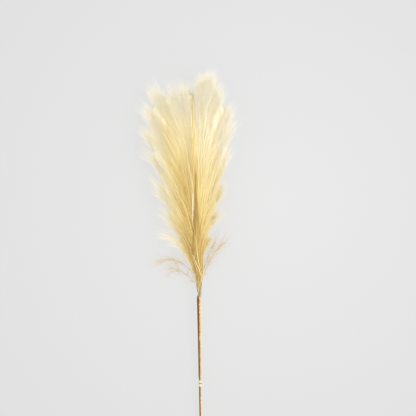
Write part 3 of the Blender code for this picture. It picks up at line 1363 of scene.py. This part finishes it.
    def body(self, chance: np.random.Generator) -> np.ndarray:
        """Places the rings' points, from the second ring to the last but one.

        Args:
            chance: Where the random draws come from.

        Returns:
            The points, on a grid of rings and columns.
        """
        side, part = self.shell[..., 0], self.part[:, None]
        tufts = np.repeat(chance.uniform(-1.0, 1.0, self.columns // self.tuft_columns), self.tuft_columns)
        fine = chance.uniform(-1.0, 1.0, self.columns)
        tufts = self.ragged * (self.ragged_share * tufts + (1.0 - self.ragged_share) * fine)
        tufts = np.where(self.turn < math.pi, tufts, np.roll(tufts[::-1], 1))
        along = self.start + part * (self.top.at(side) - self.start) + tufts * part**self.ragged_power
        body = self.form.middle(along)
        body[..., 1] = along - self.form.middle_along
        body[..., 0] += side
        body[..., 2] = np.maximum(body[..., 2] + self.over, self.floor_gap)
        return body[1:-1]

    def mesh(self, body: np.ndarray) -> bpy.types.Mesh:
        """Skins the rings and closes both ends.

        Args:
            body: The rings' points.

        Returns:
            The mesh.
        """
        ends = self.form.centre(self.levels[[0, -1]])
        points = [tuple(ends[0]), *map(tuple, body.reshape(-1, 3)), tuple(ends[1])]
        rings, columns, last = len(body), self.columns, len(points) - 1
        faces = []
        for k in range(columns):
            n = (k + 1) % columns
            faces.append((0, 1 + k, 1 + n))
            faces.append((last, 1 + (rings - 1) * columns + n, 1 + (rings - 1) * columns + k))
            for row in range(rings - 1):
                low, high = 1 + row * columns, 1 + (row + 1) * columns
                faces.append((low + k, high + k, high + n, low + n))
        made = bpy.data.meshes.new("plume_heart")
        made.from_pydata(points, [], faces)
        return made

    def shading(self, body: np.ndarray, chance: np.random.Generator) -> np.ndarray:
        """Shades the mesh's points, in strands that run along it.

        Args:
            body: The rings' points.
            chance: Where the random draws come from.

        Returns:
            Each point's tone and paleness.
        """
        strands = chance.normal(0.0, 1.0, (1, self.columns))
        drift = np.cumsum(chance.normal(0.0, self.strand_drift, (len(body), self.columns)), axis=0)
        strands = strands + drift - drift.mean(axis=0)
        tone = self.shades.tone(body) + self.tone_shift + self.strand_tone * strands
        calm = 1.0 - self.pale_calm * between(self.form.along(body), *self.calm_from)
        pale = self.shades.pale(body) + self.strand_pale * calm * strands
        shades = np.stack((tone.ravel(), pale.ravel()), axis=1)
        return np.clip(np.vstack((self.first_shade, shades, self.last_shade)), *SHADE_RANGE)

    def build(self) -> list[bpy.types.Object]:
        """Builds the form.

        Returns:
            The finished piece.
        """
        chance = np.random.default_rng(self.shade_seed)
        body = self.body(chance)
        mesh = self.mesh(body)
        index = np.zeros(len(mesh.loops), dtype=int)
        mesh.loops.foreach_get("vertex_index", index)
        shading = self.shading(body, chance)[index]
        mesh.uv_layers.new(name=HAIR_MAP).data.foreach_set("uv", shading.astype(np.float32).ravel())
        mesh.materials.append(self.finish)
        return [placed("plume_heart", mesh)]


@dataclass(frozen=True)
class Plume:
    """The plume's hair, one piece for each tier of branches."""

    form: StemForm
    grower: Grower
    heart: Heart
    shades: HairShades
    seed: int = 5
    first_seed: int = 100
    strands: int = 7200
    strand_points: int = 8
    sizes: HairSizes = HairSizes(14, 0.0008, 0.0058, 0.00013, 0.00080, 0.85, 0.006)
    # Each branch's share of the strands.
    crown_weight: float = 1.6
    outer_weight: float = 0.25
    # Where strands end and how long they are, in shares of their branch.
    first_end: float = 0.50
    ends: Range = (0.96, 1.08)
    crowding: Range = (0.60, 0.35)
    lengths: Range = (0.36, 0.56)
    least_start: float = 0.01
    # How strands spread round their branch's middle, and the way that they face.
    width: float = 1.15
    narrowing: float = 0.05
    side_narrowing: float = 0.30
    root_width: float = 0.45
    root_opening: float = 0.9
    half_depth: float = 0.5
    facing_edge: float = -0.35
    facing_lean: float = 0.5
    # The thick strands that lie under the others.
    bulk_share: float = 0.28
    bulk_ends: Range = (0.42, 0.86)
    bulk_crowding: float = 0.7
    bulk_body: float = 2.4
    bulk_sink: float = 0.0005
    # How the others lie on the heart, and the few that stand up from it.
    clearance: float = 0.0005
    thickness: float = 0.0014
    standing_share: float = 0.07
    standing: float = 0.017
    standing_sizes: Range = (0.3, 1.0)
    standing_loss: float = 0.7
    standing_bow: float = 1.6
    # The loose hair inside the heart's edge, and how much slimmer tufts are outside it.
    inner_hairs: float = 0.12
    outer_slimming: float = 0.45
    # The plume's width on each side, and the line of its tips.
    left_width: SmoothLine = SmoothLine(
        (
            (0.0, 0.90), (0.02, 1.05), (0.055, 0.80), (0.11, 0.88), (0.16, 0.96), (0.28, 0.83),
            (0.35, 0.83), (0.40, 0.86), (0.43, 0.82),
        )
    )
    right_width: SmoothLine = SmoothLine(
        (
            (0.0, 2.0), (0.02, 1.50), (0.05, 0.74), (0.085, 0.63), (0.12, 0.74), (0.16, 0.92),
            (0.28, 0.82), (0.35, 0.82), (0.40, 0.86), (0.43, 0.84),
        )
    )
    outline: SmoothLine = SmoothLine(
        (
            (-0.125, 0.405), (-0.100, 0.450), (-0.060, 0.470), (-0.028, 0.464), (-0.006, 0.440),
            (0.018, 0.460), (0.031, 0.486), (0.041, 0.468), (0.052, 0.436), (0.075, 0.424),
            (0.105, 0.395),
        )
    )
    outline_softness: float = 0.020
    outline_spread: float = 0.007
    # How the ends droop.
    droop_start: float = 0.5
    droop_out: float = 0.04
    droop_back: float = 0.11
    droop_loss: float = 0.55
    # How tone and paleness vary, and the strands that lie in shade.
    tone_spread: Range = (0.27, 0.14)
    outer_calm: float = 0.6
    pale_tips: float = 0.26
    pale_middle: float = 0.62
    pale_lock_spread: float = 0.04
    pale_spread: Range = (0.15, 0.06)
    tone_range: Range = (0.02, 0.97)
    shaded_share: float = 0.22
    shaded_depth: float = 0.32
    shaded_high_loss: float = 0.6
    shaded_outer_loss: float = 0.7

    def height(self, lock: Lock) -> float:
        """Tells how high up the plume a lock's tier is, from 0 to 1."""
        return lock.tier / self.form.last_tier

    def weight(self, lock: Lock) -> float:
        """Weighs a lock's share of the strands: larger for long, wide and high ones, smaller below.

        Args:
            lock: The lock.

        Returns:
            Its weight.
        """
        tier = self.form.tiers[lock.tier]
        size = (tier.tip - tier.start) * (tier.left + tier.right) * lock.half_angle
        high = 1.0 + self.crown_weight * self.height(lock) ** 3
        wide = 1.0 - self.outer_weight * (1.0 - abs(math.cos(lock.angle)))
        upper = 1.0 - self.outer_weight * (1.0 - math.sin(lock.angle))
        return size * high * wide * upper

    def shaped(self, path: np.ndarray, chance: np.random.Generator) -> np.ndarray:
        """Brings strands to the plume's own outline: its width on each side and the line of its tips.

        Args:
            path: The strands' points.
            chance: Where the random draws come from.

        Returns:
            The strands' new points.
        """
        along = self.form.along(path)
        middle = self.form.middle(along)[..., 0]
        side = path[..., 0] - middle
        side = side * np.where(side > 0.0, self.right_width.at(along), self.left_width.at(along))
        limit = self.outline.at(side) + chance.normal(0.0, self.outline_spread, (len(path), 1))
        over = np.maximum((along - limit) / self.outline_softness + 1.0, 0.0)
        held = limit + self.outline_softness * (np.tanh(over) - 1.0)
        shaped = path.copy()
        shaped[..., 0] = middle + side
        shaped[..., 1] += np.where(over > 0.0, held - along, 0.0)
        return shaped

    def lock_strands(self, lock: Lock, chance: np.random.Generator, count: int) -> Strands:
        """Lays out one lock's strands, from its stalk to its edges and tip.

        Args:
            lock: The lock.
            chance: Where the random draws come from.
            count: How many strands to lay out.

        Returns:
            The strands.
        """

        def draw(low: float, high: float) -> np.ndarray:
            """Draws one number for each strand."""
            return chance.uniform(low, high, (count, 1))

        def spread(size: np.ndarray) -> np.ndarray:
            """Draws how far each strand is from the usual, for a usual distance."""
            return size * chance.normal(0.0, 1.0, (count, 1))

        way = np.linspace(0.0, 1.0, self.strand_points)[None, :]
        high = self.height(lock) ** 2
        end = draw(*self.ends) - self.first_end
        end = self.first_end + end * draw(0.0, 1.0) ** blended(self.crowding, high)
        bulk = draw(0.0, 1.0) < self.bulk_share
        end = np.where(bulk, blended(self.bulk_ends, draw(0.0, 1.0) ** self.bulk_crowding), end)
        start = np.maximum(end - draw(*self.lengths), self.least_start)
        share = start + (end - start) * way
        turn, out = draw(0.0, 2 * math.pi), np.sqrt(draw(0.0, 1.0))
        narrowing = self.narrowing + self.side_narrowing * abs(math.cos(lock.angle))
        width = self.width - narrowing * np.clip(end, 0.0, 1.0) ** 4
        width = out * width * blended((self.root_width, 1.0), way**self.root_opening)
        angle = lock.angle + lock.half_angle * np.cos(turn) * width + lock.curl * share**2
        tier = lock.tier - self.half_depth * np.sin(turn) * width
        path = self.shaped(self.form.plume_point(tier, angle, share * lock.length_share), chance)

        loosened = np.clip(share - self.droop_start, 0.0, 1.0) ** 2
        low = 1.0 - self.droop_loss * self.height(lock)
        path[..., 0] += self.droop_out * np.cos(angle) * loosened
        path[..., 1] -= self.droop_back * low * np.abs(np.cos(angle)) * loosened
        lift = np.where(bulk, -self.bulk_sink, self.clearance + self.thickness * draw(0.0, 1.0)) * way
        standing = (draw(0.0, 1.0) < self.standing_share) & ~bulk
        stand = self.standing * draw(*self.standing_sizes) * (1.0 - self.standing_loss * high)
        lift = lift + standing * stand * way**self.standing_bow
        path = self.heart.comb(path, self.clearance + lift)

        tip = path[:, -1:]
        climb, free = self.shades.climb(tip), self.heart.outside(tip)
        calm = 1.0 - self.outer_calm * free * (1.0 - climb)
        tone = self.shades.tone(tip) + spread(blended(self.tone_spread, climb) * calm)
        pale = self.shades.pale(path) + self.pale_tips * (share - self.pale_middle)
        pale = pale + chance.normal(0.0, self.pale_lock_spread)
        shaded = self.shaded_depth * (draw(0.0, 1.0) < self.shaded_share)
        shaded = shaded * (1.0 - self.shaded_high_loss * climb) * (1.0 - self.shaded_outer_loss * free)
        pale = pale + spread(blended(self.pale_spread, climb)) - shaded
        facing = np.where(np.sin(angle) > self.facing_edge, 1.0, -1.0)
        out_way = np.stack((self.facing_lean * np.cos(angle), np.zeros_like(angle), facing), axis=-1)
        loose = np.where(bulk, 0.0, blended((self.inner_hairs, 1.0), free))
        body = np.where(bulk, self.bulk_body, 1.0 - self.outer_slimming * free)
        flat = np.zeros_like(share)
        tone, pale = np.clip(tone + flat, *self.tone_range), np.clip(pale, *SHADE_RANGE)
        return Strands(path, out_way, body + flat, loose + flat, tone, pale)

    def build(self) -> list[bpy.types.Object]:
        """Builds the hair of every tier.

        Returns:
            The pieces.
        """
        chance = np.random.default_rng(self.seed)
        locks = self.form.locks()
        whole = sum(self.weight(lock) for lock in locks)
        pieces = []
        for index, tier in enumerate(self.form.tiers):
            own = [lock for lock in locks if lock.tier == index]
            counts = [round(self.strands * self.weight(lock) / whole) for lock in own]
            parts = [self.lock_strands(lock, chance, count) for lock, count in zip(own, counts)]
            name, strands = f"plume_hair_{tier.name}", Strands.joined(parts)
            piece = self.grower.grow(name, strands, self.sizes, self.first_seed + index)
            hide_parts(*[lock.node for lock in own])
            pieces.append(piece)
        return pieces


def upwards(path: np.ndarray) -> np.ndarray:
    """Gives each point of some strands an outward way that runs straight up."""
    return np.zeros_like(path) + (0.0, 0.0, 1.0)


@dataclass(frozen=True)
class Streak:
    """One long strand on top of the plume: its thickness, tone and paleness, and how far right of the
    rachis it runs, by its place along the stem."""

    body: float
    tone: float
    pale: float
    points: tuple[Pair, ...]


@dataclass(frozen=True)
class Streaks:
    """Strands on top of the plume: dark ones in its parting, partly deeper golden hair and partly painted
    shade, a light one beside it that is painted light, and light ones across its foot with dark ones between,
    partly painted shade.
    """

    form: StemForm
    grower: Grower
    heart: Heart
    shades: HairShades
    seed: int = 500
    lift: float = 0.0044
    lifted: Range = (0.08, 0.92)
    above: float = 0.001
    merging: int = 5
    strand_points: int = 24
    sizes: HairSizes = HairSizes(2, 0.0002, 0.0010, 0.00014, 0.0010, 1.0, 0.001)
    streaks: tuple[Streak, ...] = (
        # The first six follow the parting, the darker ones partly painted shade and the second one painted
        # light; the last seven cross the foot, the three dark ones partly painted shade.
        Streak(
            1.3, 0.30, 0.0,
            ((0.030, -0.0086), (0.098, -0.0092), (0.122, -0.0052), (0.150, -0.0034), (0.232, 0.001)),
        ),
        Streak(
            1.1, 0.92, 0.86,
            ((0.130, -0.0082), (0.162, -0.0074), (0.187, -0.0061), (0.212, -0.0053), (0.235, -0.0066)),
        ),
        Streak(1.6, 0.60, 0.10, ((0.188, 0.0005), (0.212, 0.0022), (0.242, 0.0038))),
        Streak(1.4, 0.65, 0.20, ((0.198, 0.0036), (0.220, 0.0048), (0.247, 0.0058))),
        Streak(2.2, 0.52, 0.34, ((0.236, -0.0024), (0.290, -0.0029), (0.340, -0.0032), (0.375, -0.0030))),
        Streak(1.6, 0.66, 0.54, ((0.300, -0.0005), (0.350, -0.0010), (0.395, 0.0008))),
        Streak(
            0.9, 0.85, 0.60,
            ((0.006, 0.0061), (0.031, 0.0037), (0.052, -0.0040), (0.069, -0.0118), (0.090, -0.0205)),
        ),
        Streak(
            0.9, 0.80, 0.50,
            ((0.014, 0.0084), (0.036, 0.0050), (0.061, -0.0005), (0.088, -0.0016), (0.118, -0.0029)),
        ),
        Streak(0.9, 0.85, 0.55, ((0.010, 0.0095), (0.040, 0.0094), (0.080, 0.0130))),
        Streak(0.8, 0.80, 0.50, ((0.030, -0.0020), (0.060, -0.0100), (0.083, -0.0190))),
        Streak(0.7, 0.40, 0.05, ((0.040, 0.0021), (0.060, 0.0036), (0.086, 0.0055))),
        Streak(0.8, 0.35, 0.05, ((0.050, -0.0080), (0.075, -0.0126), (0.098, -0.0214))),
        Streak(0.8, 0.40, 0.08, ((0.006, -0.0002), (0.031, -0.0047), (0.046, -0.0063))),
    )

    def path(self, streak: Streak) -> np.ndarray:
        """Finds a strand's line over the rachis.

        Args:
            streak: The strand.

        Returns:
            Its points.
        """
        along = np.linspace(streak.points[0][0], streak.points[-1][0], self.strand_points)
        path = self.form.centre(along)
        path[:, 0] += SmoothLine(streak.points).at(along)
        path[:, 2] += self.above
        return path

    def build(self) -> list[bpy.types.Object]:
        """Builds the strands.

        Returns:
            The finished piece.
        """
        lift = self.lift * np.sin(math.pi * np.linspace(*self.lifted, self.strand_points))
        path = self.heart.comb(np.array([self.path(streak) for streak in self.streaks]), lift[None, :])
        flat = np.zeros(path.shape[:2])
        shades = np.array([(streak.body, streak.tone, streak.pale) for streak in self.streaks])
        body, tone, pale = (column[:, None] + flat for column in shades.T)
        merged = np.linspace(0.0, 1.0, self.strand_points)[None, :] ** self.merging
        pale = pale + (self.shades.pale(path) - pale) * merged
        strands = Strands(path, upwards(path), body, flat, tone, pale)
        return [self.grower.grow("plume_parting", strands, self.sizes, self.seed)]


# Neck -----------------------------------------------------------------------------------------------


@dataclass(frozen=True)
class Stray:
    """One bare branch that stands out from the neck, with the sizes of its solid."""

    side: Side
    number: int
    start: float
    rise: float
    reach: float
    lift: float
    bend: float

    @property
    def ending(self) -> str:
        """What the names of the branch and of its hair end in."""
        return f"{self.side.name.lower()}_{self.number}"


@dataclass(frozen=True)
class Strays:
    """The sparse branches round the plume's base, each with a few loose hairs."""

    form: StemForm
    grower: Grower
    draw_seed: int = 40
    grow_seed: int = 300
    radius: float = 0.0009
    root_side: float = 0.9
    root_lift: float = 0.45
    bow: float = 1.7
    strand_points: int = 12
    branches: tuple[Stray, ...] = (
        Stray(Side.LEFT, 1, -0.009, 0.051, 0.078, -0.010, 0.52),
        Stray(Side.LEFT, 2, -0.006, 0.066, 0.094, 0.008, 0.66),
        Stray(Side.RIGHT, 1, -0.009, 0.129, 0.064, 0.006, 0.32),
        Stray(Side.RIGHT, 2, -0.006, 0.136, 0.044, -0.014, 0.30),
    )
    wisps: int = 13
    wisp_starts: Range = (0.15, 0.75)
    wisp_lengths: Range = (0.20, 0.35)
    wisp_end: float = 1.02
    wisp_body: float = 0.5
    stalk_body: float = 1.6
    fan: float = 0.010
    fan_power: float = 1.4
    tone: float = 0.15
    pale: Range = (0.22, 0.82)
    sizes: HairSizes = HairSizes(16, 0.0004, 0.0130, 0.00010, 0.00024, 0.9, 0.010)

    def path(self, stray: Stray, share: np.ndarray) -> np.ndarray:
        """Finds a stray branch's centre line.

        Args:
            stray: The branch.
            share: Shares of the way from its root to its tip.

        Returns:
            A point for each share.
        """
        root = self.form.culm_radius(stray.start) + 2 * self.form.gap + self.radius
        high = math.copysign(self.root_lift * root, stray.lift)
        side = self.root_side * root
        along = stray.start + stray.rise * np.sin(math.pi * stray.bend * share)
        place = self.form.centre(along)
        place[..., 0] += stray.side.value * (side + (stray.reach - side) * share**self.bow)
        place[..., 2] += high + (stray.lift - high) * share
        return place

    def strands(self, stray: Stray, chance: np.random.Generator) -> Strands:
        """Lays out a stray branch's strands: one along its stalk and the others fanning from it.

        Args:
            stray: The branch.
            chance: Where the random draws come from.

        Returns:
            The strands.
        """
        way = np.linspace(0.0, 1.0, self.strand_points)[None, :]
        starts = chance.uniform(*self.wisp_starts, self.wisps)
        ends = np.minimum(starts + chance.uniform(*self.wisp_lengths, self.wisps), self.wisp_end)
        start, end = (np.concatenate(pair)[:, None] for pair in (((0.0,), starts), ((1.0,), ends)))
        fan = chance.normal(0.0, self.fan, (1 + self.wisps, 1, 3)) * way[..., None] ** self.fan_power
        fan[0] = 0.0
        path = self.path(stray, start + (end - start) * way) + fan
        body = np.full(path.shape[:2], self.wisp_body)
        body[0] = self.stalk_body
        pale = np.linspace(*self.pale, self.strand_points) + np.zeros_like(body)
        return Strands(path, upwards(path), body, np.ones_like(body), np.full_like(body, self.tone), pale)

    def build(self) -> list[bpy.types.Object]:
        """Builds every stray branch's hair.

        Returns:
            The pieces.
        """
        pieces = []
        for index, stray in enumerate(self.branches):
            name = f"stray_wisp_{stray.ending}"
            strands = self.strands(stray, np.random.default_rng(self.draw_seed + index))
            piece = self.grower.grow(name, strands, self.sizes, self.grow_seed + index)
            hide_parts(f"stray_branch_{stray.ending}")
            pieces.append(piece)
        return pieces


@dataclass(frozen=True)
class Neck:
    """The bundle of branch stalks that wraps the culm between the sheath's mouth and the plume."""

    form: StemForm
    grower: Grower
    draw_seed: int = 60
    grow_seed: int = 400
    stalks: int = 15
    strand_points: int = 14
    start: float = -0.030
    start_spread: float = 0.012
    end: float = 0.045
    ends: Range = (0.6, 1.0)
    scatter: Range = (-0.2, 0.2)
    twist: float = 2.4
    twists: Range = (0.6, 1.2)
    root_reach: float = 0.0006
    reach: float = 0.0022
    reaches: Range = (0.75, 1.15)
    flare: float = 0.006
    flare_bow: float = 1.5
    light_share: float = 0.2
    mouth: Range = (0.004, -0.002)
    light_shade: Shade = (0.95, 0.90)
    plain_shade: Shade = (0.50, 0.20)
    mouth_shade: Shade = (0.20, 0.02)
    sizes: HairSizes = HairSizes(3, 0.0004, 0.0020, 0.00018, 0.00085, 1.0, 0.002)

    def build(self) -> list[bpy.types.Object]:
        """Builds the bundle.

        Returns:
            The finished piece.
        """
        chance = np.random.default_rng(self.draw_seed)

        def draw(low: float, high: float) -> np.ndarray:
            """Draws one number for each stalk."""
            return chance.uniform(low, high, (self.stalks, 1))

        way = np.linspace(0.0, 1.0, self.strand_points)[None, :]
        start = draw(self.start, self.start + self.start_spread)
        end = draw(*self.ends) * self.end
        along = start + (end - start) * way
        angle = np.arange(self.stalks)[:, None] * 2 * math.pi / self.stalks + draw(*self.scatter)
        angle = angle + self.twist * (1.0 - way) * draw(*self.twists)
        reach = self.form.culm_radius(along) + self.root_reach + self.reach * np.sin(math.pi * way) ** 0.5
        reach = reach * draw(*self.reaches) + self.flare * between(along, 0.0, self.end) ** self.flare_bow
        path = self.form.centre(along)
        path[..., 0] += reach * np.cos(angle)
        path[..., 2] += reach * np.sin(angle)
        out = np.stack((np.cos(angle), np.zeros_like(angle), np.sin(angle)), axis=-1)
        below = between(along, *self.mouth)
        light = (draw(0.0, 1.0) < self.light_share) & (below > 0.5)
        tone, pale = (
            np.where(light, bright, blended((plain, low), below))
            for bright, plain, low in zip(self.light_shade, self.plain_shade, self.mouth_shade)
        )
        strands = Strands(path, out, np.ones_like(tone), np.ones_like(tone), tone, pale)
        return [self.grower.grow("neck_stalks", strands, self.sizes, self.grow_seed)]


# Studio ---------------------------------------------------------------------------------------------


@dataclass(frozen=True)
class Studio:
    """A pale floor, soft light from the right, and a camera that looks straight down."""

    form: StemForm
    view_width: float = 0.874
    view_side: float = 0.0175
    view_along: float = 0.166
    camera_height: float = 3.2
    sensor_width: float = 36.0
    floor_half: float = 8.0
    floor_roughness: float = 0.9
    floor_shine: float = 0.1
    floor_shade: float = 0.70
    floor_seen: float = 0.83
    floor_glow: float = 0.8
    palest_place: Pair = (0.17, 0.23)
    falloff: float = 0.90
    falloff_reach: float = 0.74
    world_level: float = 0.95
    lamp_level: float = 0.95
    lamp_width_angle: float = 35.0
    lamp_tilt: float = 28.0

    def build(self) -> None:
        """Builds the floor, the lights and the camera."""
        self.floor()
        self.light()
        self.camera()

    def paint(self) -> bpy.types.Material:
        """Makes the floor's paint, a painted pool of light: palest beside the stem and a little darker
        further off.

        Returns:
            The paint, which looks the same to the camera wherever the lamp is.
        """
        made, wiring, shader = blank_material("floor_paint")
        given = {0: wiring.add("ShaderNodeTexCoord").outputs["Object"], 1: (*self.palest_place, 0.0)}
        far = wiring.add("ShaderNodeVectorMath", given, operation="DISTANCE").outputs["Value"]
        given = {"Value": far, "From Max": self.falloff_reach}
        shade, seen = (
            wiring.result("ShaderNodeMapRange", {**given, "To Min": near, "To Max": near * self.falloff})
            for near in (self.floor_shade, self.floor_seen)
        )
        shine = {"Roughness": self.floor_roughness, "Specular IOR Level": self.floor_shine}
        wiring.fill(shader, {"Base Color": shade, **shine})
        # Seen directly, the floor is mostly a glow in the colour of that painted pool of light, which also
        # lightens the object's shadow on it.
        ray = wiring.add("ShaderNodeLightPath").outputs
        direct = wiring.sum(Sum.MAXIMUM, ray["Is Camera Ray"], ray["Is Glossy Ray"])
        direct = wiring.sum(Sum.MAXIMUM, direct, ray["Is Transmission Ray"])
        given = {
            "Fac": wiring.product(direct, self.floor_glow),
            1: shader.outputs["BSDF"],
            2: wiring.result("ShaderNodeEmission", {"Color": seen}),
        }
        whole = wiring.result("ShaderNodeMixShader", given)
        wiring.fill(made.node_tree.nodes["Material Output"], {"Surface": whole})
        return made

    def floor(self) -> None:
        """Lays the floor."""
        mesh = bpy.data.meshes.new("floor")
        half = self.floor_half
        corners = [(-half, -half, 0), (half, -half, 0), (half, half, 0), (-half, half, 0)]
        mesh.from_pydata(corners, [], [(0, 1, 2, 3)])
        floor = bpy.data.objects.new("floor", mesh)
        bpy.context.scene.collection.objects.link(floor)
        mesh.materials.append(self.paint())

    def light(self) -> None:
        """Sets the world's even light and the large soft lamp on the right."""
        world = bpy.data.worlds.new("studio")
        world.use_nodes = True
        back = world.node_tree.nodes["Background"]
        back.inputs["Color"].default_value = (1.0, 1.0, 1.0, 1.0)
        back.inputs["Strength"].default_value = self.world_level
        bpy.context.scene.world = world
        lamp = bpy.data.lights.new("soft_key", "SUN")
        lamp.angle = math.radians(self.lamp_width_angle)
        lamp.energy = self.lamp_level
        key = bpy.data.objects.new("soft_key", lamp)
        key.rotation_euler = (0.0, math.radians(self.lamp_tilt), 0.0)
        bpy.context.scene.collection.objects.link(key)

    def camera(self) -> None:
        """Hangs the camera over the stem."""
        data = bpy.data.cameras.new("camera")
        data.sensor_width = self.sensor_width
        data.lens = self.sensor_width * self.camera_height / self.view_width
        camera = bpy.data.objects.new("camera", data)
        side, along = self.view_side - self.form.middle_side, self.view_along - self.form.middle_along
        camera.location = (side, along, self.camera_height)
        bpy.context.scene.collection.objects.link(camera)
        bpy.context.scene.camera = camera


def main() -> None:
    """Builds the stem and its studio."""
    logging.basicConfig(level=logging.INFO, format="%(message)s")
    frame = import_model()
    bpy.context.scene.view_settings.view_transform = "Standard"
    form = StemForm()
    hair = HairFinish().material()
    grower = Grower(HairTree().build(), hair)
    shades = HairShades(form)
    heart = Heart(form, hair, shades)
    plume = Plume(form, grower, heart, shades)
    streaks = Streaks(form, grower, heart, shades)
    for part in (heart, plume, streaks, Strays(form, grower), Neck(form, grower)):
        for piece in part.build():
            LOG.info("%s: %d faces", piece.name, len(piece.data.polygons))
    # The dark colour is painted shade on each stem's left, partly its own brown; the pale colour is painted
    # light on its right, and the glint colour painted highlight.
    culm = StrawFinish(
        name="culm_straw",
        form=form,
        pale=(0.86, 0.68, 0.40),
        middle=(0.62, 0.43, 0.21),
        dark=(0.155, 0.062, 0.014),
        fleck=(0.90, 0.80, 0.58),
        half_width=0.0029,
    )
    sheath = StrawFinish(
        name="sheath_straw",
        form=form,
        pale=(0.88, 0.70, 0.42),
        middle=(0.66, 0.46, 0.23),
        dark=(0.14, 0.052, 0.012),
        fleck=(0.90, 0.80, 0.60),
        half_width=0.0045,
    )
    for node, straw in (("culm", culm), ("leaf_sheath", sheath)):
        shown = frame["nodes"][node]
        shown.data.materials.clear()
        shown.data.materials.append(straw.material())
        LOG.info("%s: dressed", node)
    Studio(form).build()


if __name__ == "__main__":
    main()
